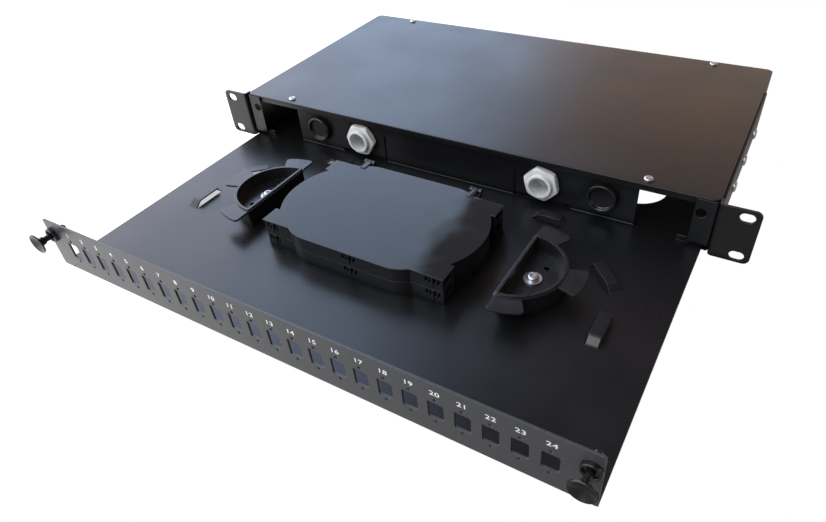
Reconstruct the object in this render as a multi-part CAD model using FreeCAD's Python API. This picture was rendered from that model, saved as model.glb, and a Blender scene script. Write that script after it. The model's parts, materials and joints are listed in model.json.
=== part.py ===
import FreeCAD, Part

import math
import os

from FreeCAD import Vector

# Fiber termination box: a 1U rack-mount housing, open at the rear, with a tray that slides
# out to the front. Millimetres. Frame: +Z up, the front faces -Y, +X is the viewer's right.
# Origin: midway between the rack ears, on the ears' front plane, on the housing's underside.
# The tray is modelled pulled out to its stops, with the latch knobs pulled.

X_AXIS = Vector(1, 0, 0)
Y_AXIS = Vector(0, 1, 0)
Z_AXIS = Vector(0, 0, 1)
SIDES = ("left", "right")

# --- Driving dimensions ----------------------------------------------------------------

# Sheet metal
SHEET = 1.2
BEND_INNER = 0.8
BEND_OUTER = BEND_INNER + SHEET

# 19-inch rack interface
RACK_WIDTH = 482.6
RACK_SLOT_SPACING_X = 465.0
RACK_SLOT_SPACING_Z = 31.75
RACK_SLOT_LENGTH = 10.0
RACK_SLOT_WIDTH = 7.0
RACK_SLOT_MID_Z = 21.2
EAR_SHEET = 2.0
EAR_HEIGHT = 43.4
EAR_ARM_LENGTH = 193.0
EAR_ARM_BOTTOM = 3.0
EAR_ARM_TOP = 40.0
EAR_CORNER = 4.5

# Housing
HOUSING_WIDTH = 428.0
HOUSING_FRONT = 4.0
HOUSING_REAR = 232.0
WALL_HEIGHT = 42.0
COVER_FRONT = 3.2
COVER_CORNER = 5.5
BEAM_LIP_BOTTOM = 37.0
BEAM_FLANGE_DEPTH = 14.0
BEAM_SETBACK = 0.6
COVER_SCREW_X = 164.0
COVER_SCREW_INSET = 6.5
FLOOR_HOLE_X = 148.0
FLOOR_HOLE_Y = 62.0
FLOOR_HOLE_R = 23.0
FLANGE_FRONT = 2.7
FLANGE_INNER_X = 199.0
FLANGE_BOTTOM = 5.0
EAR_SCREW_Y = (60.0, 101.0, 147.0)
EAR_SCREW_Z = 22.0

# Tray
TRAY_WIDTH = 419.0
TRAY_UNDERSIDE = 1.5
TRAY_TOP = TRAY_UNDERSIDE + SHEET
TRAY_REAR = 8.0
TRAY_WALL_FRONT = 9.0
TRAY_WALL_BACK = TRAY_WALL_FRONT + SHEET
TRAY_WALL_TOP = 36.4
TRAY_WALL_HALF = 159.5
TRAY_LIP_HALF = 197.5
TRAY_LIP_TOP = 11.5
STOP_TAB_X = 195.8
STOP_TAB_WIDTH = 9.0
STOP_TAB_Y = 5.0
STOP_TAB_TOP = 7.0
RELIEF_X = 62.3
RELIEF_END_X = 110.0
RELIEF_WIDTH = 1.2
RELIEF_TOP = 27.0
RELIEF_SLOT_TOP = 5.4
CABLE_TAB_WIDTH = 8.0
CABLE_TAB_RISE = 4.4
CABLE_TAB_RAMP = 6.0
CABLE_TAB_GAP = 0.6
CABLE_TAB_BEND = 3.8
CABLE_TAB_CORNER = 1.2

# Front panel
PANEL_SHEET = 1.5
PANEL_FRONT = -218.3
PANEL_BACK = PANEL_FRONT + PANEL_SHEET
PANEL_TOP = 43.0
PORT_COUNT = 24
PORT_PITCH = 16.0
PORT_Z = 21.3
PORT_WIDTH = 9.7
PORT_HEIGHT = 13.0
PORT_CHAMFER = 1.2
ADAPTER_SCREW_SPACING = 18.0
ADAPTER_SCREW_R = 1.1
LATCH_X = 203.8
LATCH_Z = 30.9
LATCH_HOLE_R = 3.6
RUNNING_GAP = 0.05

# Push-pull latch: split grommet in the panel, plunger with a dished knob
GROMMET_FLANGE_R = 5.8
GROMMET_FLANGE_THICK = 2.8
GROMMET_DISH_R = 4.4
GROMMET_DISH_DEPTH = 1.9
GROMMET_BODY_R = 3.3
GROMMET_TAIL_R = 3.0
GROMMET_TAIL_END = -208.8
PLUNGER_R = 2.3
PLUNGER_TAIL_END = -212.0
KNOB_R = 7.8
KNOB_FRONT = -232.0
KNOB_RIM = 1.5
KNOB_DISH = 3.2
KNOB_DISH_POWER = 1.3
KNOB_CONE_END = -228.8
KNOB_NECK_R = 3.2
KNOB_NECK_END = -225.6

# Splice cassettes
CASSETTE_X = -2.0
CASSETTE_Y = -84.5
CASSETTE_HALF_X = 77.5
CASSETTE_HALF_Y = 46.5
CASSETTE_BULGE_Y = 52.0
CASSETTE_BULGE_FLAT = 35.0
CASSETTE_BULGE_END = 52.0
CASSETTE_TAB_INNER_Y = 30.5
CASSETTE_NOTCH_X = 73.5
CASSETTE_END_X = 83.0
CASSETTE_WALL = 1.5
CASSETTE_HEIGHT = 10.8
CASSETTE_STACK_GAP = 0.2
LID_OVERHANG = 1.0
LID_THICK = 1.0
LID_GAP = 0.1
CASSETTE_SCREW_X = 30.0
GUIDE_X = 48.0
GUIDE_R = 20.0
GUIDE_HEIGHT = 7.5
COMB_SIZE = (34.0, 12.0, 6.0)
COMB_OFFSET_Y = 34.0
COMB_SLOTS = 6
SNAP_X = (-68.5, 4.5, 68.5)
SNAP_WINDOW_NEAR = 0.8
SNAP_WINDOW_FAR = 5.6
SNAP_WINDOW_TOP = 1.6
SNAP_WINDOW_BOTTOM = 5.6
SNAP_PRONG_WIDTH = 1.3
SNAP_PRONG_RISE = 3.0
SNAP_PRONG_PROUD = 0.4

# Cassette hinges at the rear edge
HINGE_OFFSET_X = 49.3
HINGE_Y = -29.0
HINGE_PIN_R = 1.2
HINGE_HUB_R = 2.2
HINGE_ARM_WIDTH = 4.6
HINGE_EAR_WIDTH = 2.4
HINGE_SIDE_GAP = 0.2

# D-shaped fibre spools
SPOOL_X = 106.5
SPOOL_Y = -86.0
SPOOL_R = 34.0
SPOOL_TAB_R = 48.0
SPOOL_TOP = 18.5
SPOOL_WALL = 2.0
SPOOL_TAB_THICK = 1.6
SPOOL_TAB_DROP = 1.1
SPOOL_LEDGE = 1.1
SPOOL_FLOOR_TOP = 7.5
SPOOL_FLOOR_THICK = 2.0
SPOOL_TABS = ((-90, -60), (-16.5, 16.5), (60, 90))
SPOOL_SCREW_X = 118.5
SPOOL_SCREW_Y = -85.5
SPOOL_BOSS_R = 6.0
SPOOL_HOLE_X = 123.0
SPOOL_HOLE_OFFSET_Y = 15.0
SPOOL_HOLE_R = 2.0
WASHER_R = 6.5
WASHER_THICK = 1.0

# Cable glands and blind plugs in the tray's rear wall
GLAND_X = 86.0
PLUG_X = 133.8
ENTRY_Z = 20.8
ENTRY_HOLE_R = 10.3
GLAND_THREAD_R = 10.2
GLAND_THREAD_PITCH = 1.41
GLAND_BORE_R = 8.0
GLAND_NUT_FLATS = 26.0
GLAND_NUT_THICK = 5.6
GLAND_NUT_TURN = {"left": 0.0, "right": 45.0}
GLAND_PROUD = 3.4
GLAND_HEX_FLATS = 24.0
GLAND_HEX_THICK = 5.0
GLAND_REAR_THREAD_R = 9.5
HEX_EDGE_BREAK = 1.3
HEX_CORNER_R = 1.8
GLAND_REAR_THREAD_END = 23.0
SEAL_OUTER_R = 8.4
SEAL_BORE_R = 5.0
SEAL_FRONT = 15.4
SEAL_REAR = 24.4
DOME_FRONT = 15.6
DOME_STEP = 24.8
DOME_HEX_END = 26.0
DOME_REAR = 33.0
DOME_HOLE_R = 7.6
PLUG_CAP_R = 11.9
PLUG_PROUD = 5.0
PLUG_RECESS_R = 8.8
PLUG_RECESS_DEPTH = 2.4
PLUG_FACE_THICK = 1.8
PLUG_TAIL_END = 17.0


# --- Small helpers ---------------------------------------------------------------------


def box(x0, x1, y0, y1, z0, z1):
    """A block between two corners."""
    return Part.makeBox(x1 - x0, y1 - y0, z1 - z0, Vector(x0, y0, z0))


def rod(radius, start, axis, length):
    """A cylinder that starts at a point and runs along an axis."""
    return Part.makeCylinder(radius, length, start, axis)


def fuse(*shapes):
    """One solid from several, with no seam faces left."""
    return shapes[0].multiFuse(list(shapes[1:])).removeSplitter()


def cut(shape, *tools):
    """The shape with every tool taken away."""
    return shape.cut(list(tools))


def group(*solids):
    """Several separate solids that belong to one node."""
    return Part.makeCompound(list(solids))


def mirrored(shape):
    """The same shape on the other side of the centre plane."""
    return shape.mirror(Vector(0, 0, 0), X_AXIS)


def on_side(shape, side):
    """A shape modelled on the right, kept there or mirrored to the left."""
    return shape if side == "right" else mirrored(shape)


def edges_along(shape, axis, where):
    """Straight edges that run along an axis and whose centre passes a test."""
    found = []
    for edge in shape.Edges:
        if edge.Curve.TypeId != "Part::GeomLine":
            continue
        if abs(edge.Curve.Direction.dot(axis)) < 0.999:
            continue
        if where(edge.CenterOfMass):
            found.append(edge)
    return found


def rounded(shape, radius, axis, where=lambda centre: True):
    """The shape with its chosen edges along an axis rounded."""
    return shape.makeFillet(radius, edges_along(shape, axis, where))


def slot(length, width, centre, depth):
    """A slot cutter along X, pushed through along Y."""
    straight = (length - width) / 2
    middle = box(
        centre.x - straight, centre.x + straight,
        centre.y, centre.y + depth,
        centre.z - width / 2, centre.z + width / 2,
    )
    ends = [
        rod(width / 2, centre + Vector(side * straight, 0, 0), Y_AXIS, depth)
        for side in (-1, 1)
    ]
    return fuse(middle, *ends)


def hex_prism(flats, start, axis_length, turn):
    """A hexagonal bar along Y, its corners rounded and a cone breaking each end."""
    corner = flats / 2 / math.cos(math.radians(30))
    points = []
    for step in range(7):
        angle = math.radians(turn + 60 * step)
        points.append(start + Vector(corner * math.cos(angle), 0, corner * math.sin(angle)))
    prism = Part.Face(Part.makePolygon(points)).extrude(Vector(0, axis_length, 0))
    prism = rounded(prism, HEX_CORNER_R, Y_AXIS)
    flat_r = flats / 2 - 0.2
    slope = (corner - flat_r) / HEX_EDGE_BREAK
    wide_r = flat_r + slope * axis_length / 2
    front = Part.makeCone(flat_r, wide_r, axis_length / 2, start, Y_AXIS)
    rear_start = start + Vector(0, axis_length / 2, 0)
    rear = Part.makeCone(wide_r, flat_r, axis_length / 2, rear_start, Y_AXIS)
    return prism.common(front.fuse(rear))


def turned(profile, centre, axis):
    """A revolved solid. The profile lists (radius, distance along the axis)."""
    local = [Vector(radius, 0, height) for radius, height in profile]
    face = Part.Face(Part.makePolygon(local + [local[0]]))
    solid = face.revolve(Vector(0, 0, 0), Z_AXIS, 360)
    solid.Placement = FreeCAD.Placement(centre, FreeCAD.Rotation(Z_AXIS, axis))
    return solid


def pan_screw(head_r, head_height, shank_r, shank_length, seat, axis):
    """A pan-head screw with a cross recess. The axis points from the seat out of the head."""
    profile = [(0, 0), (shank_r, 0), (shank_r, shank_length), (head_r, shank_length)]
    dome_steps = 5
    edge_height = head_height * 0.45
    for step in range(dome_steps + 1):
        angle = math.radians(90 * step / dome_steps)
        radius = head_r * (0.55 + 0.45 * math.cos(angle))
        height = edge_height + (head_height - edge_height) * math.sin(angle)
        profile.append((radius, shank_length + height))
    profile.append((0, shank_length + head_height))
    screw = turned(profile, Vector(0, 0, 0), Z_AXIS)
    arm = head_r * 0.55
    half = head_r * 0.13
    depth = head_height * 0.55
    top = shank_length + head_height
    cross = fuse(
        box(-arm, arm, -half, half, top - depth, top + 1),
        box(-half, half, -arm, arm, top - depth, top + 1),
    )
    screw = cut(screw, cross)
    tail = seat - axis * shank_length
    screw.Placement = FreeCAD.Placement(tail, FreeCAD.Rotation(Z_AXIS, axis))
    return screw


# --- Housing ---------------------------------------------------------------------------

COVER_SCREW_HEAD_R = 3.3
COVER_SCREW_HEAD_HEIGHT = 1.7
COVER_SCREW_SHANK_R = 1.7
COVER_SCREW_LENGTH = 8.0
EAR_SCREW_SHANK_R = 1.75
EAR_SCREW_LENGTH = 4.4
EAR_SCREW_HEAD_R = 4.2
EAR_SCREW_HEAD_HEIGHT = 2.4
COVER_TOP = WALL_HEIGHT + SHEET
HALF_WIDTH = HOUSING_WIDTH / 2
COVER_SCREW_Y = (HOUSING_FRONT + COVER_SCREW_INSET, HOUSING_REAR - COVER_SCREW_INSET)


def cover_screw_places():
    """Where the four cover screws sit, on the cover's top face."""
    return [Vector(side * COVER_SCREW_X, y, COVER_TOP) for side in (-1, 1) for y in COVER_SCREW_Y]


def ear_screw_places():
    """Where the right ear's screws sit, on the arm's outer face."""
    return [Vector(HALF_WIDTH + EAR_SHEET, y, EAR_SCREW_Z) for y in EAR_SCREW_Y]


def front_flange():
    """The right side wall's front edge, bent inwards, with the latch hole."""
    outer = box(FLANGE_INNER_X, HALF_WIDTH, FLANGE_FRONT, HOUSING_FRONT + 6, FLANGE_BOTTOM, WALL_HEIGHT)
    outer = rounded(outer, BEND_OUTER, Z_AXIS, lambda c: c.x > HALF_WIDTH - 1 and c.y < HOUSING_FRONT)
    inner = box(
        FLANGE_INNER_X - 1, HALF_WIDTH - SHEET,
        FLANGE_FRONT + SHEET, HOUSING_FRONT + 7,
        FLANGE_BOTTOM - 1, WALL_HEIGHT + 1,
    )
    inner = rounded(inner, BEND_INNER, Z_AXIS, lambda c: c.x > HALF_WIDTH - 2 and c.y < HOUSING_FRONT)
    hole = rod(LATCH_HOLE_R, Vector(LATCH_X, 0, LATCH_Z), Y_AXIS, 8)
    return cut(outer, inner, hole)


def housing_base():
    """Floor and side walls in one bent sheet, with the two front flanges."""
    outer = box(-HALF_WIDTH, HALF_WIDTH, HOUSING_FRONT, HOUSING_REAR, 0, WALL_HEIGHT)
    outer = rounded(outer, BEND_OUTER, Y_AXIS, lambda c: c.z < 1)
    inside = HALF_WIDTH - SHEET
    inner = box(-inside, inside, HOUSING_FRONT - 1, HOUSING_REAR + 1, SHEET, WALL_HEIGHT + 1)
    inner = rounded(inner, BEND_INNER, Y_AXIS, lambda c: c.z < SHEET + 1)
    base = cut(outer, inner)
    flange = front_flange()
    base = fuse(base, flange, mirrored(flange))
    holes = []
    for side in (-1, 1):
        centre = Vector(side * FLOOR_HOLE_X, FLOOR_HOLE_Y, -1)
        holes.append(rod(FLOOR_HOLE_R, centre, Z_AXIS, SHEET + 2))
    for place in ear_screw_places():
        start = place + Vector(-8, 0, 0)
        hole = rod(EAR_SCREW_SHANK_R + RUNNING_GAP, start, X_AXIS, 10)
        holes.extend([hole, mirrored(hole)])
    return cut(base, *holes)


def cross_beam(edge_y, inward):
    """An angle between the side walls under the cover, with two tapped screw holes."""
    half = HALF_WIDTH - SHEET - 0.1
    lip = sorted((edge_y, edge_y + inward * SHEET))
    flange = sorted((edge_y, edge_y + inward * BEAM_FLANGE_DEPTH))
    beam = fuse(
        box(-half, half, lip[0], lip[1], BEAM_LIP_BOTTOM, WALL_HEIGHT),
        box(-half, half, flange[0], flange[1], WALL_HEIGHT - SHEET, WALL_HEIGHT),
    )
    near_edge = lambda c: c.z > WALL_HEIGHT - 0.1 and abs(c.y - edge_y) < 0.1
    beam = rounded(beam, SHEET, X_AXIS, near_edge)
    holes = [
        rod(COVER_SCREW_SHANK_R + RUNNING_GAP, place - Z_AXIS * 8, Z_AXIS, 9)
        for place in cover_screw_places()
    ]
    return cut(beam, *holes)


def top_cover():
    """The flat lid sheet with rounded corners and four clearance holes."""
    sheet = box(-HALF_WIDTH, HALF_WIDTH, COVER_FRONT, HOUSING_REAR, WALL_HEIGHT, COVER_TOP)
    sheet = rounded(sheet, COVER_CORNER, Z_AXIS)
    holes = [
        rod(COVER_SCREW_SHANK_R + 0.2, place - Z_AXIS * 4, Z_AXIS, 6) for place in cover_screw_places()
    ]
    return cut(sheet, *holes)


def cover_screws():
    """Four pan-head screws that hold the cover on the cross beams."""
    screws = [
        pan_screw(
            COVER_SCREW_HEAD_R, COVER_SCREW_HEAD_HEIGHT,
            COVER_SCREW_SHANK_R, COVER_SCREW_LENGTH, place, Z_AXIS,
        )
        for place in cover_screw_places()
    ]
    return group(*screws)


def rack_ear():
    """The right rack bracket: a slotted ear in front, a long arm screwed to the side wall."""
    inner_x = HALF_WIDTH
    outer_x = RACK_WIDTH / 2
    bracket = box(inner_x, outer_x, 0, EAR_ARM_LENGTH, 0, EAR_HEIGHT)
    bracket = rounded(bracket, EAR_SHEET + 1, Z_AXIS, lambda c: c.x < inner_x + 1 and c.y < 1)
    space = box(inner_x + EAR_SHEET, outer_x + 1, EAR_SHEET, EAR_ARM_LENGTH + 1, -1, EAR_HEIGHT + 1)
    space = rounded(space, 1.0, Z_AXIS, lambda c: c.x < inner_x + 3 and c.y < 3)
    bracket = cut(bracket, space)
    bracket = rounded(bracket, EAR_CORNER, Y_AXIS, lambda c: c.x > outer_x - 1)
    arm_start = EAR_SHEET + 6
    below = box(inner_x - 1, outer_x, arm_start, EAR_ARM_LENGTH + 1, -1, EAR_ARM_BOTTOM)
    above = box(inner_x - 1, outer_x, arm_start, EAR_ARM_LENGTH + 1, EAR_ARM_TOP, EAR_HEIGHT + 1)
    bracket = cut(bracket, below, above)
    bracket = rounded(bracket, EAR_CORNER, X_AXIS, lambda c: c.y > EAR_ARM_LENGTH - 1)
    cutters = []
    for side in (-1, 1):
        z = RACK_SLOT_MID_Z + side * RACK_SLOT_SPACING_Z / 2
        centre = Vector(RACK_SLOT_SPACING_X / 2, -1, z)
        cutters.append(slot(RACK_SLOT_LENGTH, RACK_SLOT_WIDTH, centre, EAR_SHEET + 2))
    for place in ear_screw_places():
        cutters.append(rod(EAR_SCREW_SHANK_R + 0.2, place - X_AXIS * 4, X_AXIS, 6))
    return cut(bracket, *cutters)


def ear_screws():
    """Three screws on each side hold the rack brackets."""
    right = [
        pan_screw(
            EAR_SCREW_HEAD_R, EAR_SCREW_HEAD_HEIGHT,
            EAR_SCREW_SHANK_R, EAR_SCREW_LENGTH, place, X_AXIS,
        )
        for place in ear_screw_places()
    ]
    return group(*right, *[mirrored(screw) for screw in right])


# --- Tray and front panel --------------------------------------------------------------

# Cable tabs sheared out of the floor: root x, root y, heading in degrees, length
CABLE_TABS = (
    (172.5, -121.0, 90.0, 27.0),
    (-172.5, -121.0, 90.0, 27.0),
    (170.3, -68.6, 133.0, 27.4),
    (-170.3, -68.6, 47.0, 27.4),
    (88.0, -10.5, 0.0, 23.0),
    (-112.0, -12.0, 0.0, 25.0),
)
CASSETTE_SCREW_HEAD_R = 2.8
CASSETTE_SCREW_HEAD_HEIGHT = 1.8
CASSETTE_SCREW_SHANK_R = 1.5
SPOOL_SCREW_HEAD_R = 4.25
SPOOL_SCREW_HEAD_HEIGHT = 2.8
SPOOL_SCREW_SHANK_R = 2.0
CASSETTE_FLOOR_TOP = TRAY_TOP + CASSETTE_WALL


def cassette_screw_places():
    """Where the lower cassette's two screws sit, on its floor."""
    return [
        Vector(CASSETTE_X + side * CASSETTE_SCREW_X, CASSETTE_Y, CASSETTE_FLOOR_TOP)
        for side in (-1, 1)
    ]


def cable_tab(root_x, root_y, heading, length):
    """A raised strip and the hole it was sheared from, for one cable tie point."""
    half = CABLE_TAB_WIDTH / 2
    low = TRAY_UNDERSIDE
    high = TRAY_TOP
    lean = SHEET / 2
    root = -3
    profile = [
        Vector(root, -half, low),
        Vector(0, -half, low),
        Vector(CABLE_TAB_RAMP, -half, low + CABLE_TAB_RISE),
        Vector(length, -half, low + CABLE_TAB_RISE),
        Vector(length, -half, high + CABLE_TAB_RISE),
        Vector(CABLE_TAB_RAMP - lean, -half, high + CABLE_TAB_RISE),
        Vector(-lean, -half, high),
        Vector(root, -half, high),
        Vector(root, -half, low),
    ]
    strip = Part.Face(Part.makePolygon(profile)).extrude(Vector(0, CABLE_TAB_WIDTH, 0))
    crest = lambda c: abs(c.x - CABLE_TAB_RAMP + lean) < 0.1 and c.z > high
    under_crest = lambda c: abs(c.x - CABLE_TAB_RAMP) < 0.1
    foot = lambda c: abs(c.x + lean) < 0.1
    strip = rounded(strip, CABLE_TAB_BEND + SHEET, Y_AXIS, crest)
    strip = rounded(strip, CABLE_TAB_BEND, Y_AXIS, under_crest)
    strip = rounded(strip, CABLE_TAB_BEND, Y_AXIS, foot)
    strip = rounded(strip, CABLE_TAB_CORNER, Z_AXIS, lambda c: c.x > length - 0.1)
    side = half + CABLE_TAB_GAP
    hole = box(0, length + 1.5, -side, side, low - 1, high + 1)
    turn = FreeCAD.Placement(Vector(root_x, root_y, 0), FreeCAD.Rotation(Z_AXIS, heading))
    strip.Placement = turn
    hole.Placement = turn
    return strip, hole


def tray_wall():
    """The upright rear wall, bent up from the floor."""
    half = TRAY_WALL_HALF
    outer = box(-half, half, 0, TRAY_WALL_BACK, TRAY_UNDERSIDE, TRAY_WALL_TOP)
    outer = rounded(outer, BEND_OUTER, X_AXIS, lambda c: c.z < TRAY_TOP and c.y > 1)
    inner = box(-half - 1, half + 1, -1, TRAY_WALL_FRONT, TRAY_TOP, TRAY_WALL_TOP + 1)
    inner = rounded(inner, BEND_INNER, X_AXIS, lambda c: c.z < TRAY_TOP + 1 and c.y > 1)
    wall = cut(outer, inner)
    return rounded(wall, 2.0, Y_AXIS, lambda c: c.z > TRAY_WALL_TOP - 1)


def wall_cutters():
    """Cable entries and the slits that let each gland section flex."""
    cutters = []
    for side in (-1, 1):
        for x in (GLAND_X, PLUG_X):
            start = Vector(side * x, TRAY_WALL_FRONT - 2, ENTRY_Z)
            cutters.append(rod(ENTRY_HOLE_R, start, Y_AXIS, SHEET + 4))
        slit = box(
            RELIEF_X - RELIEF_WIDTH / 2, RELIEF_X + RELIEF_WIDTH / 2,
            TRAY_WALL_FRONT - 1, TRAY_WALL_BACK + 1, TRAY_TOP, RELIEF_TOP,
        )
        foot = box(
            RELIEF_X, RELIEF_END_X,
            TRAY_WALL_FRONT - 1, TRAY_WALL_BACK + 1, TRAY_TOP + 0.2, RELIEF_SLOT_TOP,
        )
        end = rod(RELIEF_WIDTH * 0.8, Vector(RELIEF_X, TRAY_WALL_FRONT - 1, RELIEF_TOP), Y_AXIS, 4)
        for cutter in (slit, foot, end):
            cutters.append(cutter if side > 0 else mirrored(cutter))
    return cutters


def tray_lip():
    """The floor's front edge, turned up behind the front panel that is welded to it."""
    half = TRAY_LIP_HALF
    reach = PANEL_BACK + 10
    outer = box(-half, half, PANEL_BACK, reach, TRAY_UNDERSIDE, TRAY_LIP_TOP)
    inner = box(-half - 1, half + 1, PANEL_BACK + SHEET, reach + 1, TRAY_TOP, TRAY_LIP_TOP + 1)
    inner = rounded(inner, BEND_INNER, X_AXIS, lambda c: c.z < TRAY_TOP + 1 and c.y < reach)
    return cut(outer, inner)


def tray():
    """The sliding tray in one bent sheet: floor, front lip, rear wall, stops and cable tabs."""
    half = TRAY_WIDTH / 2
    floor = box(-half, half, PANEL_BACK, TRAY_REAR, TRAY_UNDERSIDE, TRAY_TOP)
    stop = box(
        STOP_TAB_X - STOP_TAB_WIDTH / 2, STOP_TAB_X + STOP_TAB_WIDTH / 2,
        STOP_TAB_Y, STOP_TAB_Y + SHEET, TRAY_TOP - 0.5, STOP_TAB_TOP,
    )
    body = fuse(floor, tray_wall(), tray_lip(), stop, mirrored(stop))
    strips, holes = zip(*[cable_tab(*tab) for tab in CABLE_TABS])
    body = cut(body, *holes, *wall_cutters())
    body = fuse(body, *strips)
    screw_holes = []
    for side in (-1, 1):
        start = Vector(side * SPOOL_SCREW_X, SPOOL_SCREW_Y, 0)
        screw_holes.append(rod(SPOOL_SCREW_SHANK_R + RUNNING_GAP, start, Z_AXIS, 5))
    for place in cassette_screw_places():
        start = place - Z_AXIS * 5
        screw_holes.append(rod(CASSETTE_SCREW_SHANK_R + RUNNING_GAP, start, Z_AXIS, 5))
    return cut(body, *screw_holes)


def port_centres():
    """The centre of every adapter port on the panel's front plane, left to right."""
    first = -(PORT_COUNT - 1) * PORT_PITCH / 2
    return [Vector(first + i * PORT_PITCH, PANEL_FRONT, PORT_Z) for i in range(PORT_COUNT)]


def port_cutter(centre):
    """One adapter opening with two screw holes, one above and one below."""
    opening = box(
        centre.x - PORT_WIDTH / 2, centre.x + PORT_WIDTH / 2,
        centre.y - 1, centre.y + PANEL_SHEET + 1,
        centre.z - PORT_HEIGHT / 2, centre.z + PORT_HEIGHT / 2,
    )
    chamfered = edges_along(opening, Y_AXIS, lambda c: c.x > centre.x)
    opening = opening.makeChamfer(PORT_CHAMFER, chamfered)
    holes = []
    for side in (-1, 1):
        start = centre + Vector(0, -1, side * ADAPTER_SCREW_SPACING / 2)
        holes.append(rod(ADAPTER_SCREW_R, start, Y_AXIS, PANEL_SHEET + 2))
    return [opening, *holes]


def front_panel():
    """The plate with the row of adapter ports and a latch hole at each end."""
    half = TRAY_WIDTH / 2
    plate = box(-half, half, PANEL_FRONT, PANEL_BACK, TRAY_UNDERSIDE, PANEL_TOP)
    plate = rounded(plate, 1.5, Y_AXIS)
    cutters = []
    for centre in port_centres():
        cutters.extend(port_cutter(centre))
    for side in (-1, 1):
        start = Vector(side * LATCH_X, PANEL_FRONT - 1, LATCH_Z)
        cutters.append(rod(GROMMET_BODY_R + RUNNING_GAP, start, Y_AXIS, PANEL_SHEET + 2))
    return cut(plate, *cutters)


# --- Push-pull latches -----------------------------------------------------------------


def latch_grommet():
    """The right latch's split grommet: flange, body in the panel, four springy legs."""
    face = PANEL_FRONT
    bore = PLUNGER_R + RUNNING_GAP
    flange_front = face - GROMMET_FLANGE_THICK
    dish = flange_front + GROMMET_DISH_DEPTH
    profile = [
        (bore, dish),
        (GROMMET_DISH_R - 0.5, dish),
        (GROMMET_DISH_R, flange_front + 0.2),
        (GROMMET_DISH_R + 0.2, flange_front),
        (GROMMET_FLANGE_R - 0.5, flange_front),
        (GROMMET_FLANGE_R - 0.1, flange_front + 0.4),
        (GROMMET_FLANGE_R, face),
        (GROMMET_BODY_R, face),
        (GROMMET_BODY_R, PANEL_BACK + 1.2),
        (GROMMET_TAIL_R, PANEL_BACK + 2.4),
        (GROMMET_TAIL_R, GROMMET_TAIL_END - 1),
        (GROMMET_TAIL_R - 0.5, GROMMET_TAIL_END),
        (bore, GROMMET_TAIL_END),
    ]
    body = turned([(r, y - face) for r, y in profile], Vector(LATCH_X, face, LATCH_Z), Y_AXIS)
    slit_start = PANEL_BACK + 2
    half = 0.4
    reach = GROMMET_BODY_R + 1
    slits = [
        box(
            LATCH_X - reach, LATCH_X + reach, slit_start, GROMMET_TAIL_END + 1,
            LATCH_Z - half, LATCH_Z + half,
        ),
        box(
            LATCH_X - half, LATCH_X + half, slit_start, GROMMET_TAIL_END + 1,
            LATCH_Z - reach, LATCH_Z + reach,
        ),
    ]
    return cut(body, *slits)


def latch_plunger():
    """The right latch's plunger: dished knob, flared neck and a plain shaft."""
    dish_r = KNOB_R - 0.9
    dish_steps = 8
    profile = []
    for step in range(dish_steps + 1):
        share = step / dish_steps
        depth = KNOB_DISH * (1 - share ** KNOB_DISH_POWER)
        profile.append((dish_r * share, KNOB_FRONT + depth))
    profile += [
        (KNOB_R - 0.4, KNOB_FRONT),
        (KNOB_R, KNOB_FRONT + 0.4),
        (KNOB_R, KNOB_FRONT + KNOB_RIM - 0.4),
        (KNOB_R - 0.4, KNOB_FRONT + KNOB_RIM),
        (KNOB_R - 2.4, KNOB_FRONT + KNOB_RIM + 0.4),
        (KNOB_NECK_R + 0.5, KNOB_CONE_END),
        (KNOB_NECK_R, KNOB_CONE_END + 0.8),
        (KNOB_NECK_R - 0.1, KNOB_NECK_END - 0.6),
        (PLUNGER_R, KNOB_NECK_END),
        (PLUNGER_R, PLUNGER_TAIL_END - 0.8),
        (PLUNGER_R - 0.8, PLUNGER_TAIL_END),
        (0, PLUNGER_TAIL_END),
    ]
    start = Vector(LATCH_X, KNOB_FRONT, LATCH_Z)
    return turned([(r, y - KNOB_FRONT) for r, y in profile], start, Y_AXIS)


# --- Fibre spools ----------------------------------------------------------------------


SPOOL_TAB_LOW = SPOOL_TOP - SPOOL_TAB_DROP - SPOOL_TAB_THICK


def half_disc(radius, back_off, z0, z1):
    """A D-shaped block: round towards +X, flat at back_off from the arc's centre line."""
    disc = rod(radius, Vector(SPOOL_X, SPOOL_Y, z0), Z_AXIS, z1 - z0)
    far = SPOOL_X + radius + 1
    keep = box(SPOOL_X + back_off, far, SPOOL_Y - radius - 1, SPOOL_Y + radius + 1, z0, z1)
    return disc.common(keep)


def spool_tab(start_angle, end_angle):
    """One fibre-retaining tab on the rim, a flat sector with rounded outer corners."""
    centre = Vector(SPOOL_X, SPOOL_Y, SPOOL_TAB_LOW)
    sector = Part.makeCylinder(
        SPOOL_TAB_R, SPOOL_TAB_THICK, centre, Z_AXIS, end_angle - start_angle
    )
    sector.rotate(centre, Z_AXIS, start_angle)
    hub = rod(SPOOL_R - SPOOL_WALL, centre - Z_AXIS, Z_AXIS, SPOOL_TAB_THICK + 2)
    tab = cut(sector, hub)
    outer = lambda c: (Vector(c.x, c.y, 0) - Vector(SPOOL_X, SPOOL_Y, 0)).Length > SPOOL_TAB_R - 1
    return rounded(tab, 2.6, Z_AXIS, outer)


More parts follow.
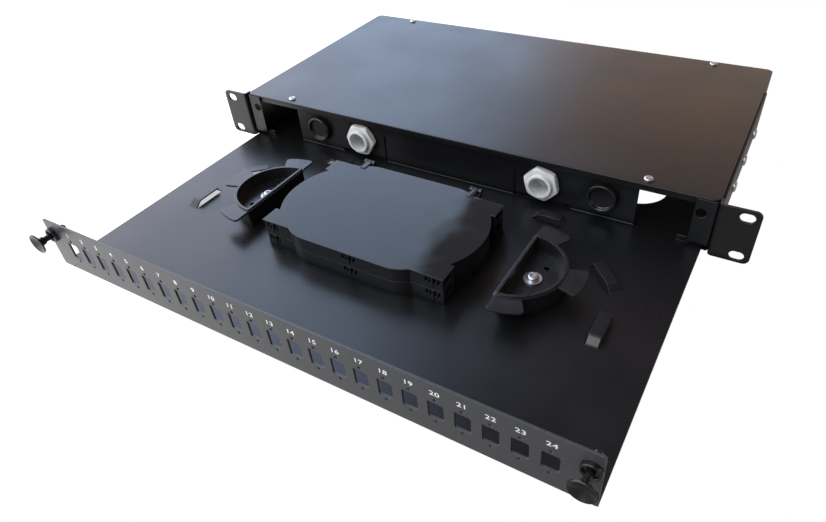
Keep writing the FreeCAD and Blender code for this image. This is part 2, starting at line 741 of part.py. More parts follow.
def fibre_spool():
    """The right spool: a D-shaped drum, open on top, with three rim tabs and a screw boss."""
    drum = half_disc(SPOOL_R, 0, TRAY_TOP, SPOOL_TOP)
    drum = rounded(drum, 1.5, Z_AXIS)
    above = half_disc(SPOOL_R - SPOOL_WALL, SPOOL_WALL, SPOOL_FLOOR_TOP, SPOOL_TOP + 1)
    below_top = SPOOL_FLOOR_TOP - SPOOL_FLOOR_THICK
    below = half_disc(SPOOL_R - SPOOL_WALL, SPOOL_WALL, TRAY_TOP - 1, below_top)
    place = Vector(SPOOL_SCREW_X, SPOOL_SCREW_Y, TRAY_TOP)
    boss = rod(SPOOL_BOSS_R, place, Z_AXIS, SPOOL_FLOOR_TOP - TRAY_TOP)
    ledge = half_disc(
        SPOOL_R + SPOOL_LEDGE, -SPOOL_LEDGE, SPOOL_TAB_LOW, SPOOL_TAB_LOW + SPOOL_TAB_THICK
    )
    ledge = rounded(ledge, 2.0, Z_AXIS)
    shell = cut(fuse(drum, ledge), above, below)
    body = fuse(shell, boss, *[spool_tab(*angles) for angles in SPOOL_TABS])
    holes = [rod(SPOOL_SCREW_SHANK_R + 0.2, place - Z_AXIS, Z_AXIS, SPOOL_TOP)]
    for side in (-1, 1):
        start = Vector(SPOOL_HOLE_X, SPOOL_Y + side * SPOOL_HOLE_OFFSET_Y, TRAY_TOP)
        holes.append(rod(SPOOL_HOLE_R, start, Z_AXIS, SPOOL_TOP))
    return cut(body, *holes)


def spool_washer():
    """The flat washer under the right spool's screw."""
    centre = Vector(SPOOL_SCREW_X, SPOOL_SCREW_Y, SPOOL_FLOOR_TOP)
    ring = rod(WASHER_R, centre, Z_AXIS, WASHER_THICK)
    return cut(ring, rod(SPOOL_SCREW_SHANK_R + 0.2, centre - Z_AXIS, Z_AXIS, WASHER_THICK + 2))


def spool_screw():
    """The right spool's screw, tapped into the tray floor."""
    seat = Vector(SPOOL_SCREW_X, SPOOL_SCREW_Y, SPOOL_FLOOR_TOP + WASHER_THICK)
    length = seat.z - TRAY_UNDERSIDE - 0.1
    return pan_screw(
        SPOOL_SCREW_HEAD_R, SPOOL_SCREW_HEAD_HEIGHT, SPOOL_SCREW_SHANK_R, length, seat, Z_AXIS
    )


# --- Splice cassettes ------------------------------------------------------------------

LOWER_BOTTOM = TRAY_TOP
LOWER_TOP = LOWER_BOTTOM + CASSETTE_HEIGHT
UPPER_BOTTOM = LOWER_TOP + CASSETTE_STACK_GAP
UPPER_TOP = UPPER_BOTTOM + CASSETTE_HEIGHT
LID_BOTTOM = UPPER_TOP + LID_GAP
LOWER_HINGE_Z = UPPER_BOTTOM
LID_HINGE_Z = LID_BOTTOM + LID_THICK / 2
HINGES_X = (CASSETTE_X - HINGE_OFFSET_X, CASSETTE_X + HINGE_OFFSET_X)


def cassette_quarter():
    """Edges of the outline from the front middle to the end middle, about the centre."""
    sag = CASSETTE_BULGE_Y - CASSETTE_HALF_Y
    run = CASSETTE_BULGE_END - CASSETTE_BULGE_FLAT
    blend_r = (run * run + sag * sag) / (2 * sag)
    mid_angle = math.asin(run / blend_r) / 2
    blend_mid = Vector(
        CASSETTE_BULGE_FLAT + blend_r * math.sin(mid_angle),
        CASSETTE_BULGE_Y - blend_r * (1 - math.cos(mid_angle)), 0,
    )
    end_sag = CASSETTE_END_X - CASSETTE_NOTCH_X
    end_r = (CASSETTE_TAB_INNER_Y ** 2 + end_sag ** 2) / (2 * end_sag)
    end_angle = math.asin(CASSETTE_TAB_INNER_Y / end_r) / 2
    end_mid = Vector(
        CASSETTE_END_X - end_r * (1 - math.cos(end_angle)), end_r * math.sin(end_angle), 0
    )
    corners = [
        Vector(0, CASSETTE_BULGE_Y, 0),
        Vector(CASSETTE_BULGE_FLAT, CASSETTE_BULGE_Y, 0),
        Vector(CASSETTE_BULGE_END, CASSETTE_HALF_Y, 0),
        Vector(CASSETTE_HALF_X, CASSETTE_HALF_Y, 0),
        Vector(CASSETTE_HALF_X, CASSETTE_TAB_INNER_Y, 0),
        Vector(CASSETTE_NOTCH_X, CASSETTE_TAB_INNER_Y, 0),
        Vector(CASSETTE_END_X, 0, 0),
    ]
    return [
        Part.LineSegment(corners[0], corners[1]).toShape(),
        Part.Arc(corners[1], blend_mid, corners[2]).toShape(),
        Part.LineSegment(corners[2], corners[3]).toShape(),
        Part.LineSegment(corners[3], corners[4]).toShape(),
        Part.LineSegment(corners[4], corners[5]).toShape(),
        Part.Arc(corners[5], end_mid, corners[6]).toShape(),
    ]


def cassette_prism(inset, z0, z1):
    """The cassette outline, inset all round, as a block between two heights."""
    quarter = Part.Compound(cassette_quarter())
    half = [quarter, quarter.mirror(Vector(0, 0, 0), Y_AXIS)]
    whole = half + [part.mirror(Vector(0, 0, 0), X_AXIS) for part in half]
    edges = [edge for part in whole for edge in part.Edges]
    wire = Part.Wire(Part.__sortEdges__(edges))
    face = Part.Face(wire)
    if inset:
        face = face.makeOffset2D(-inset, join=2)
    face.translate(Vector(CASSETTE_X, CASSETTE_Y, z0))
    return face.extrude(Vector(0, 0, z1 - z0))


def fibre_guides(floor_top):
    """Two open rings that keep the stored fibre's bend radius."""
    guides = []
    for side in (-1, 1):
        centre = Vector(CASSETTE_X + side * GUIDE_X, CASSETTE_Y, floor_top - 0.5)
        ring = cut(
            rod(GUIDE_R, centre, Z_AXIS, GUIDE_HEIGHT),
            rod(GUIDE_R - 1.2, centre - Z_AXIS, Z_AXIS, GUIDE_HEIGHT + 2),
            box(
                centre.x - GUIDE_R - 1, centre.x + GUIDE_R + 1, CASSETTE_Y - 4, CASSETTE_Y + 4,
                floor_top - 2, floor_top + GUIDE_HEIGHT + 1,
            ),
        )
        guides.append(ring)
    return guides


def snap_window_sides():
    """The left and right side of every snap window, two windows to each tongue."""
    sides = []
    for x in SNAP_X:
        for side in (-1, 1):
            near = CASSETTE_X + x + side * SNAP_WINDOW_NEAR
            far = CASSETTE_X + x + side * SNAP_WINDOW_FAR
            sides.append(sorted((near, far)))
    return sides


def snap_cutters(top):
    """Windows for the snap tongues in the front wall, and the fibre entries in the ends."""
    front = CASSETTE_Y - CASSETTE_BULGE_Y
    low = top - SNAP_WINDOW_BOTTOM
    high = top - SNAP_WINDOW_TOP
    cutters = []
    for xs in snap_window_sides():
        cutters.append(box(xs[0], xs[1], front - 1, front + 9, low, high))
    for side in (-1, 1):
        end_x = CASSETTE_X + side * CASSETTE_HALF_X
        for y in (CASSETTE_Y - 38, CASSETTE_Y + 38):
            cutters.append(box(end_x - 6, end_x + 6, y - 4, y + 4, top - 6, top + 1))
    return cutters


def front_wall_y(x):
    """Where the cassette's front wall stands, level with a point across it."""
    reach = CASSETTE_BULGE_Y if abs(x - CASSETTE_X) < CASSETTE_BULGE_FLAT else CASSETTE_HALF_Y
    return CASSETTE_Y - reach + LID_OVERHANG


def snap_tongues(top):
    """Vertical snap bars between the windows, standing a little proud of the front wall."""
    tongues = []
    for x in SNAP_X:
        middle = CASSETTE_X + x
        edge = front_wall_y(middle)
        tongues.append(box(middle - 0.8, middle + 0.8, edge - 0.7, edge + 1.0, top - 8.5, top - 0.6))
    return tongues


def snap_prongs(top):
    """A springy prong on the sill of every snap window, leaning out a little at its foot."""
    sill = top - SNAP_WINDOW_BOTTOM
    prongs = []
    for xs in snap_window_sides():
        middle = sum(xs) / 2
        edge = front_wall_y(middle)
        start = middle - SNAP_PRONG_WIDTH / 2
        outline = [
            Vector(start, edge + 1.2, sill - 0.6),
            Vector(start, edge - SNAP_PRONG_PROUD, sill - 0.6),
            Vector(start, edge - SNAP_PRONG_PROUD, sill + 0.4),
            Vector(start, edge + 0.1, sill + SNAP_PRONG_RISE),
            Vector(start, edge + 1.2, sill + SNAP_PRONG_RISE),
            Vector(start, edge + 1.2, sill - 0.6),
        ]
        prongs.append(Part.Face(Part.makePolygon(outline)).extrude(X_AXIS * SNAP_PRONG_WIDTH))
    return prongs


def hinge_ears(axis_z, pin_r, drop):
    """Two pairs of ears on a cassette's rear wall, with holes for the hinge pins."""
    ears = []
    hub_r = pin_r + 1.1
    wall_y = CASSETTE_Y + CASSETTE_HALF_Y - 1.0
    for mid in HINGES_X:
        for side in (-1, 1):
            near = HINGE_ARM_WIDTH / 2 + HINGE_SIDE_GAP
            xs = sorted((mid + side * near, mid + side * (near + HINGE_EAR_WIDTH)))
            web = box(xs[0], xs[1], wall_y, HINGE_Y, axis_z - drop - 3.4, axis_z - drop)
            foot = box(xs[0], xs[1], HINGE_Y - hub_r, HINGE_Y, axis_z - drop - 1, axis_z)
            hub = rod(hub_r, Vector(xs[0], HINGE_Y, axis_z), X_AXIS, xs[1] - xs[0])
            hole_start = Vector(xs[0] - 1, HINGE_Y, axis_z)
            hole = rod(pin_r + RUNNING_GAP, hole_start, X_AXIS, HINGE_EAR_WIDTH + 2)
            ears.append(cut(fuse(web, foot, hub), hole))
    return ears


def hinge_arms(axis_z, pin_r, arm_bottom, arm_top, arm_front):
    """Arms between the ears, each with a pin that runs through both of them."""
    arms = []
    hub_r = pin_r + 1.0
    for mid in HINGES_X:
        half = HINGE_ARM_WIDTH / 2
        bar = box(mid - half, mid + half, arm_front, HINGE_Y, arm_bottom, arm_top)
        hub = rod(hub_r, Vector(mid - half, HINGE_Y, axis_z), X_AXIS, HINGE_ARM_WIDTH)
        reach = half + HINGE_SIDE_GAP + HINGE_EAR_WIDTH
        pin = rod(pin_r, Vector(mid - reach, HINGE_Y, axis_z), X_AXIS, 2 * reach)
        arms.append(fuse(bar, hub, pin))
    return arms


LID_PIN_R = 1.0
REAR_WALL_INNER = CASSETTE_Y + CASSETTE_HALF_Y - LID_OVERHANG - CASSETTE_WALL


def cassette_shell(bottom):
    """An open-topped splice tray: floor, wall, fibre guides and snap windows."""
    top = bottom + CASSETTE_HEIGHT
    floor_top = bottom + CASSETTE_WALL
    outer = cassette_prism(LID_OVERHANG, bottom, top)
    inner = cassette_prism(LID_OVERHANG + CASSETTE_WALL, floor_top, top + 1)
    shell = cut(outer, inner, *snap_cutters(top))
    return fuse(shell, *fibre_guides(floor_top), *snap_tongues(top), *snap_prongs(top))


def lower_cassette():
    """The fixed splice tray, screwed to the sliding tray."""
    body = fuse(cassette_shell(LOWER_BOTTOM), *hinge_ears(LOWER_HINGE_Z, HINGE_PIN_R, 0.6))
    holes = [
        rod(CASSETTE_SCREW_SHANK_R + 0.2, place - Z_AXIS * 4, Z_AXIS, 6)
        for place in cassette_screw_places()
    ]
    return cut(body, *holes)


def upper_cassette():
    """The splice tray on top, hinged to the lower one at its rear edge."""
    arms = hinge_arms(
        LOWER_HINGE_Z, HINGE_PIN_R, UPPER_BOTTOM, UPPER_BOTTOM + HINGE_HUB_R, REAR_WALL_INNER
    )
    return fuse(cassette_shell(UPPER_BOTTOM), *arms, *hinge_ears(LID_HINGE_Z, LID_PIN_R, 0.9))


def cassette_lid():
    """The thin lid plate, hinged to the upper tray."""
    plate = cassette_prism(0, LID_BOTTOM, LID_BOTTOM + LID_THICK)
    clearance = []
    for mid in HINGES_X:
        for side in (-1, 1):
            near = HINGE_ARM_WIDTH / 2
            xs = sorted((mid + side * near, mid + side * (near + HINGE_EAR_WIDTH + 0.6)))
            clearance.append(
                box(xs[0], xs[1], HINGE_Y - 4.5, HINGE_Y + 3, LID_BOTTOM - 1, LID_BOTTOM + 3)
            )
    plate = cut(plate, *clearance)
    arms = hinge_arms(
        LID_HINGE_Z, LID_PIN_R, LID_BOTTOM, LID_BOTTOM + LID_THICK + 0.8, HINGE_Y - 11
    )
    return fuse(plate, *arms)


def splice_comb(centre):
    """A slotted holder for splice protectors."""
    length, depth, height = COMB_SIZE
    block = box(
        centre.x - length / 2, centre.x + length / 2,
        centre.y - depth / 2, centre.y + depth / 2,
        centre.z, centre.z + height,
    )
    pitch = depth / COMB_SLOTS
    slots = []
    for i in range(COMB_SLOTS - 1):
        y = centre.y - depth / 2 + pitch * (i + 1)
        slots.append(
            box(
                centre.x - length, centre.x + length, y - 0.5, y + 0.5,
                centre.z + 1.5, centre.z + height + 1,
            )
        )
    return cut(block, *slots)


def splice_combs(bottom):
    """The two comb holders inside one cassette."""
    floor_top = bottom + CASSETTE_WALL
    combs = [
        splice_comb(Vector(CASSETTE_X, CASSETTE_Y + side * COMB_OFFSET_Y, floor_top))
        for side in (-1, 1)
    ]
    return group(*combs)


def cassette_screws():
    """Two screws from the lower cassette's floor into the tray."""
    screws = []
    for place in cassette_screw_places():
        length = place.z - TRAY_UNDERSIDE - 0.1
        screws.append(
            pan_screw(
                CASSETTE_SCREW_HEAD_R, CASSETTE_SCREW_HEAD_HEIGHT,
                CASSETTE_SCREW_SHANK_R, length, place, Z_AXIS,
            )
        )
    return group(*screws)


# --- Cable glands and blind plugs ------------------------------------------------------

NUT_FRONT = TRAY_WALL_FRONT - GLAND_NUT_THICK
THREAD_FRONT = NUT_FRONT - GLAND_PROUD


def gland_point(y):
    """A point on the right gland's axis."""
    return Vector(GLAND_X, y, ENTRY_Z)


def gland_body():
    """The right gland's body: threaded spigot through the wall, hexagon, rear thread."""
    profile = [(GLAND_BORE_R, THREAD_FRONT), (GLAND_THREAD_R - 0.6, THREAD_FRONT)]
    crest = THREAD_FRONT + 0.5
    while crest < NUT_FRONT:
        profile.append((GLAND_THREAD_R, crest))
        profile.append((GLAND_THREAD_R, crest + 0.25))
        profile.append((GLAND_THREAD_R - 0.5, crest + GLAND_THREAD_PITCH / 2))
        crest += GLAND_THREAD_PITCH
    profile += [
        (GLAND_THREAD_R, crest),
        (GLAND_THREAD_R, TRAY_WALL_BACK + 1),
        (GLAND_REAR_THREAD_R, TRAY_WALL_BACK + 1),
        (GLAND_REAR_THREAD_R, GLAND_REAR_THREAD_END),
        (SEAL_OUTER_R, GLAND_REAR_THREAD_END),
        (SEAL_OUTER_R, SEAL_FRONT),
        (GLAND_BORE_R, SEAL_FRONT),
    ]
    tube = turned([(r, y - THREAD_FRONT) for r, y in profile], gland_point(THREAD_FRONT), Y_AXIS)
    hexagon = hex_prism(GLAND_HEX_FLATS, gland_point(TRAY_WALL_BACK), GLAND_HEX_THICK, 0)
    opening = rod(GLAND_REAR_THREAD_R - 0.5, gland_point(0), Y_AXIS, 30)
    return fuse(tube, cut(hexagon, opening))


def gland_locknut(turn):
    """The hexagon nut in front of the wall."""
    nut = hex_prism(GLAND_NUT_FLATS, gland_point(NUT_FRONT), GLAND_NUT_THICK, turn)
    return cut(nut, rod(GLAND_THREAD_R + RUNNING_GAP, gland_point(0), Y_AXIS, 12))


def gland_seal():
    """The rubber ring that grips the cable."""
    seal = rod(SEAL_OUTER_R, gland_point(SEAL_FRONT), Y_AXIS, SEAL_REAR - SEAL_FRONT)
    return cut(seal, rod(SEAL_BORE_R, gland_point(0), Y_AXIS, 40))


def gland_dome_nut():
    """The domed nut behind, which squeezes the seal."""
    hexagon = hex_prism(GLAND_HEX_FLATS, gland_point(DOME_FRONT), DOME_HEX_END - DOME_FRONT, 0)
    dome_profile = [
        (0, DOME_HEX_END - 1),
        (GLAND_HEX_FLATS / 2 - 0.4, DOME_HEX_END - 1),
        (GLAND_HEX_FLATS / 2 - 1.0, DOME_HEX_END + 2.5),
        (GLAND_HEX_FLATS / 2 - 2.2, DOME_HEX_END + 5.0),
        (DOME_HOLE_R + 1.0, DOME_REAR),
        (0, DOME_REAR),
    ]
    dome = turned(
        [(r, y - DOME_FRONT) for r, y in dome_profile], gland_point(DOME_FRONT), Y_AXIS
    )
    thread = rod(GLAND_REAR_THREAD_R + RUNNING_GAP, gland_point(0), Y_AXIS, DOME_STEP)
    hole = rod(DOME_HOLE_R, gland_point(0), Y_AXIS, 40)
    return cut(fuse(hexagon, dome), thread, hole)


def blind_plug():
    """The right blind plug: a thick cap with a recessed face and a snap-in skirt."""
    wall = TRAY_WALL_FRONT
    front = wall - PLUG_PROUD
    recess = front + PLUG_RECESS_DEPTH
    profile = [
        (0, recess),
        (PLUG_RECESS_R - 0.6, recess),
        (PLUG_RECESS_R, recess - 0.5),
        (PLUG_RECESS_R + 0.2, front + 0.5),
        (PLUG_RECESS_R + 0.7, front),
        (PLUG_CAP_R - 1.3, front),
        (PLUG_CAP_R - 0.5, front + 0.3),
        (PLUG_CAP_R - 0.1, front + 1.1),
        (PLUG_CAP_R, wall),
        (ENTRY_HOLE_R - 0.2, wall),
        (ENTRY_HOLE_R - 0.2, TRAY_WALL_BACK + 0.1),
        (ENTRY_HOLE_R + 0.4, TRAY_WALL_BACK + 0.3),
        (ENTRY_HOLE_R - 0.6, PLUG_TAIL_END),
        (ENTRY_HOLE_R - 2.0, PLUG_TAIL_END),
        (ENTRY_HOLE_R - 2.0, recess + PLUG_FACE_THICK),
        (0, recess + PLUG_FACE_THICK),
    ]
    return turned([(r, y - front) for r, y in profile], Vector(PLUG_X, front, ENTRY_Z), Y_AXIS)


# --- All nodes -------------------------------------------------------------------------


def build_nodes():
    """Every named node of the product."""
    beam_front = HOUSING_FRONT + BEAM_SETBACK
    beam_rear = HOUSING_REAR - BEAM_SETBACK
    nodes = {
        "housing_base": housing_base(),
        "front_cross_beam": cross_beam(beam_front, 1),
        "rear_cross_beam": cross_beam(beam_rear, -1),
        "top_cover": top_cover(),
        "cover_screws": cover_screws(),
        "ear_screws": ear_screws(),
        "tray": tray(),
        "front_panel": front_panel(),
        "lower_cassette": lower_cassette(),
        "upper_cassette": upper_cassette(),
        "cassette_lid": cassette_lid(),
        "lower_splice_combs": splice_combs(LOWER_BOTTOM),
        "upper_splice_combs": splice_combs(UPPER_BOTTOM),
        "cassette_screws": cassette_screws(),
    }
    for side in SIDES:
        nodes[side + "_rack_ear"] = on_side(rack_ear(), side)
        nodes[side + "_latch_grommet"] = on_side(latch_grommet(), side)
        nodes[side + "_latch_plunger"] = on_side(latch_plunger(), side)
        nodes[side + "_fibre_spool"] = on_side(fibre_spool(), side)
        nodes[side + "_gland_body"] = on_side(gland_body(), side)
        nodes[side + "_gland_seal"] = on_side(gland_seal(), side)
        nodes[side + "_gland_dome_nut"] = on_side(gland_dome_nut(), side)
        nodes[side + "_blind_plug"] = on_side(blind_plug(), side)
    nodes["spool_screws"] = group(*[on_side(spool_screw(), side) for side in SIDES])
    nodes["spool_washers"] = group(*[on_side(spool_washer(), side) for side in SIDES])
    nodes["gland_locknuts"] = group(
        *[on_side(gland_locknut(GLAND_NUT_TURN[side]), side) for side in SIDES]
    )
    return nodes


os.makedirs("parts", exist_ok=True)
for name, shape in build_nodes().items():
    shape.exportStep("parts/" + name + ".step")
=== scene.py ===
import json
import math

import bpy
from mathutils import Matrix, Vector


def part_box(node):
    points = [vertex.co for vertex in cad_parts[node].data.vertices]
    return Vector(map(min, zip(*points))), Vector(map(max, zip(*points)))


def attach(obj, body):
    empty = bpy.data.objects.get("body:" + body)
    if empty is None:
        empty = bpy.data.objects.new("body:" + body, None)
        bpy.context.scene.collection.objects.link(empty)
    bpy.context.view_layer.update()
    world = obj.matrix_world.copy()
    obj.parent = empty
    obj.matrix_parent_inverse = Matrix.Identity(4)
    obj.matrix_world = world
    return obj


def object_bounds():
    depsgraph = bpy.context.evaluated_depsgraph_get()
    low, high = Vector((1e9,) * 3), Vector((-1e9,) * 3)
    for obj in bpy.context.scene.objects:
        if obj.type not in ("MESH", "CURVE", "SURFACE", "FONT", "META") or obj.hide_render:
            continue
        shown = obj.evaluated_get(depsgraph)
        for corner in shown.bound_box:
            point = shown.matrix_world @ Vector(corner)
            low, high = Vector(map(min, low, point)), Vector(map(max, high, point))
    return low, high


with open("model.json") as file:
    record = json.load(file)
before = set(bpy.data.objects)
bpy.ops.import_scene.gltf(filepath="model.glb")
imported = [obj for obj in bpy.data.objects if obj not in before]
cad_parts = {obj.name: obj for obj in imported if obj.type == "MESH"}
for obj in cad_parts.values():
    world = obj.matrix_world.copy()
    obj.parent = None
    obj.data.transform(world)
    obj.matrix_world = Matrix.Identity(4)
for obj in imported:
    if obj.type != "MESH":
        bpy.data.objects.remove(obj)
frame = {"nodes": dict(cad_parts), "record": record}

# Everything is in metres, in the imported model's frame: +Z up, the front faces -Y.
cad_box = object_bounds()
MM = 0.001
nodes = frame["nodes"]

# --- Camera ----------------------------------------------------------------------------

CAMERA_PLACE = Vector((0.2351, -0.3867, 0.2952))
CAMERA_AZIMUTH = 33.46
CAMERA_ELEVATION = 39.42
CAMERA_ROLL = -4.81
CAMERA_LENS = 27.47
CAMERA_SHIFT = (-0.0188, -0.0067)


def make_camera():
    """The camera at the photograph's viewing angle."""
    data = bpy.data.cameras.new("camera")
    data.lens = CAMERA_LENS
    data.shift_x, data.shift_y = CAMERA_SHIFT
    data.clip_start = 0.01
    data.clip_end = 100.0
    camera = bpy.data.objects.new("camera", data)
    turn = Matrix.Rotation(math.radians(CAMERA_AZIMUTH), 4, "Z")
    tilt = Matrix.Rotation(math.radians(90 - CAMERA_ELEVATION), 4, "X")
    roll = Matrix.Rotation(math.radians(CAMERA_ROLL), 4, "Z")
    camera.matrix_world = Matrix.Translation(CAMERA_PLACE) @ turn @ tilt @ roll
    bpy.context.scene.collection.objects.link(camera)
    bpy.context.scene.camera = camera


# --- Node helpers ----------------------------------------------------------------------


class Nodes:
    """Short calls for building a node tree."""

    def __init__(self, tree):
        self.tree = tree
        self.tree.nodes.clear()

    def add(self, kind, **settings):
        """One node. Settings that name an input set its value or link a socket to it."""
        node = self.tree.nodes.new(kind)
        for key, value in settings.items():
            name = key.replace("_", " ")
            if key in node.bl_rna.properties:
                setattr(node, key, value)
            elif isinstance(value, bpy.types.NodeSocket):
                self.tree.links.new(value, node.inputs[name])
            else:
                node.inputs[name].default_value = value
        return node

    def math(self, operation, *values):
        """A math node's output from two or three numbers or sockets."""
        node = self.tree.nodes.new("ShaderNodeMath")
        node.operation = operation
        for socket, value in zip(node.inputs, values):
            if isinstance(value, bpy.types.NodeSocket):
                self.tree.links.new(value, socket)
            else:
                socket.default_value = value
        return node.outputs[0]

    def ramp(self, value, low, high, out_low=0.0, out_high=1.0):
        """A smooth step of a value from one range to another."""
        node = self.tree.nodes.new("ShaderNodeMapRange")
        node.interpolation_type = "SMOOTHSTEP"
        self.tree.links.new(value, node.inputs["Value"])
        node.inputs["From Min"].default_value = low
        node.inputs["From Max"].default_value = high
        node.inputs["To Min"].default_value = out_low
        node.inputs["To Max"].default_value = out_high
        return node.outputs["Result"]

    def mix(self, factor, first, second):
        """A colour mix of two sockets or colours."""
        node = self.tree.nodes.new("ShaderNodeMix")
        node.data_type = "RGBA"
        pairs = ((node.inputs[0], factor), (node.inputs[6], first), (node.inputs[7], second))
        for socket, value in pairs:
            if isinstance(value, bpy.types.NodeSocket):
                self.tree.links.new(value, socket)
            else:
                socket.default_value = value
        return node.outputs[2]

    def noise(self, place, size, detail=2.0, roughness=0.5):
        """Noise whose features are about the given size in metres."""
        node = self.add("ShaderNodeTexNoise", Vector=place)
        node.inputs["Scale"].default_value = 1.0 / size
        node.inputs["Detail"].default_value = detail
        node.inputs["Roughness"].default_value = roughness
        return node.outputs["Fac"]

    def bump(self, height, depth, normal=None):
        """A bump of the given depth in metres."""
        node = self.add("ShaderNodeBump", Height=height, Distance=depth)
        if normal is not None:
            self.tree.links.new(normal, node.inputs["Normal"])
        return node.outputs["Normal"]


def rgb(red, green, blue):
    """A colour for a shader input."""
    return (red, green, blue, 1.0)


def surface(name):
    """A new material with an empty tree, its object coordinates and its shader."""
    material = bpy.data.materials.new(name)
    material.use_nodes = True
    tree = Nodes(material.node_tree)
    place = tree.add("ShaderNodeTexCoord").outputs["Object"]
    shader = tree.add("ShaderNodeBsdfPrincipled")
    tree.add("ShaderNodeOutputMaterial", Surface=shader.outputs[0])
    return material, tree, place, shader


def connect(tree, shader, **inputs):
    """Sets or links inputs of the principled shader."""
    for key, value in inputs.items():
        socket = shader.inputs[key.replace("_", " ")]
        if isinstance(value, bpy.types.NodeSocket):
            tree.tree.links.new(value, socket)
        else:
            socket.default_value = value


# --- Materials -------------------------------------------------------------------------


PAINTED_SHADE_REACH = 8 * MM
OPEN_SHEEN = 0.5


def powder_coat(name, colour, roughness, painted_shade_sheen):
    """Semi-gloss powder coat: orange peel, a slow drift in gloss, dust, and painted shade that dims
    the reflection in corners and near contacts.
    """
    material, tree, place, shader = surface(name)
    peel = tree.noise(place, 0.45 * MM, 3.0, 0.6)
    swell = tree.noise(place, 2.2 * MM, 2.0)
    drift = tree.noise(place, 60 * MM, 3.0)
    fine = tree.noise(place, 0.8 * MM, 2.0)
    gloss = tree.ramp(drift, 0.3, 0.7, roughness - 0.03, roughness + 0.03)
    gloss = tree.math("ADD", gloss, tree.ramp(fine, 0.3, 0.7, -0.02, 0.02))
    specks = tree.add("ShaderNodeTexVoronoi", Vector=place, Scale=1 / (7 * MM))
    near = tree.ramp(specks.outputs["Distance"], 0.012, 0.02, 1.0, 0.0)
    rare = tree.math("GREATER_THAN", tree.noise(place, 9 * MM, 0.0), 0.66)
    dust = tree.math("MULTIPLY", near, rare)
    tint = tree.mix(tree.ramp(fine, 0.35, 0.65), colour, rgb(*[1.35 * c for c in colour[:3]]))
    tint = tree.mix(tree.math("MULTIPLY", dust, 0.5), tint, rgb(0.5, 0.5, 0.48))
    normal = tree.bump(swell, 0.010 * MM)
    normal = tree.bump(peel, 0.006 * MM, normal)
    # Painted shade: ambient occlusion dims the reflection in corners, creases and near contacts, where
    # shade falls.
    corner = tree.add("ShaderNodeAmbientOcclusion", samples=6, Distance=PAINTED_SHADE_REACH)
    sheen_with_painted_shade = tree.ramp(corner.outputs["AO"], 0.5, 0.95, painted_shade_sheen, OPEN_SHEEN)
    connect(
        tree, shader, Base_Color=tint, Roughness=gloss, Normal=normal, IOR=1.5,
        Specular_IOR_Level=sheen_with_painted_shade,
    )
    return material


def moulded(name, colour, roughness, grain=0.004, waves=0.0, ior=1.5):
    """Injection-moulded plastic: fine spark texture and slow sink waves."""
    material, tree, place, shader = surface(name)
    texture = tree.noise(place, 0.35 * MM, 2.0, 0.6)
    wave = tree.noise(place, 30 * MM, 1.0)
    drift = tree.noise(place, 18 * MM, 3.0)
    gloss = tree.ramp(drift, 0.3, 0.7, roughness - 0.03, roughness + 0.04)
    tint = tree.mix(tree.ramp(texture, 0.3, 0.7), colour, rgb(*[1.25 * c for c in colour[:3]]))
    normal = tree.bump(wave, waves * MM)
    normal = tree.bump(texture, grain * MM, normal)
    connect(tree, shader, Base_Color=tint, Roughness=gloss, Normal=normal, IOR=ior)
    return material


def white_plastic(name):
    """Slightly translucent white nylon."""
    material, tree, place, shader = surface(name)
    texture = tree.noise(place, 0.4 * MM, 2.0)
    cloud = tree.noise(place, 5 * MM, 3.0)
    tint = tree.mix(tree.ramp(cloud, 0.3, 0.7), rgb(0.56, 0.56, 0.535), rgb(0.64, 0.64, 0.61))
    connect(
        tree, shader, Base_Color=tint, Roughness=0.38, Normal=tree.bump(texture, 0.004 * MM),
        Subsurface_Weight=0.12, Subsurface_Scale=1.5 * MM, IOR=1.5,
    )
    shader.inputs["Subsurface Radius"].default_value = (1.0, 0.8, 0.6)
    return material


def zinc(name):
    """Bright zinc plate with fine polishing marks and faint passivation colour."""
    material, tree, place, shader = surface(name)
    cloud = tree.noise(place, 1.5 * MM, 3.0)
    marks = tree.noise(place, 0.18 * MM, 2.0)
    tint = tree.mix(tree.ramp(cloud, 0.3, 0.7), rgb(0.62, 0.61, 0.58), rgb(0.54, 0.55, 0.58))
    gloss = tree.ramp(marks, 0.3, 0.7, 0.26, 0.42)
    connect(
        tree, shader, Base_Color=tint, Metallic=1.0, Roughness=gloss,
        Normal=tree.bump(marks, 0.004 * MM),
    )
    return material


def rubber(name, colour):
    """Matt rubber with a dusty bloom."""
    material, tree, place, shader = surface(name)
    bloom = tree.noise(place, 3 * MM, 4.0)
    pores = tree.noise(place, 0.3 * MM, 2.0)
    tint = tree.mix(tree.ramp(bloom, 0.3, 0.75), colour, rgb(*[1.6 * c for c in colour[:3]]))
    connect(tree, shader, Base_Color=tint, Roughness=0.75, Normal=tree.bump(pores, 0.02 * MM))
    return material


def print_ink(name):
    """White screen-print ink with slightly uneven cover."""
    material, tree, place, shader = surface(name)
    wear = tree.noise(place, 0.35 * MM, 3.0)
    tint = tree.mix(tree.ramp(wear, 0.35, 0.6), rgb(0.62, 0.62, 0.62), rgb(0.86, 0.86, 0.86))
    connect(tree, shader, Base_Color=tint, Roughness=0.5)
    return material


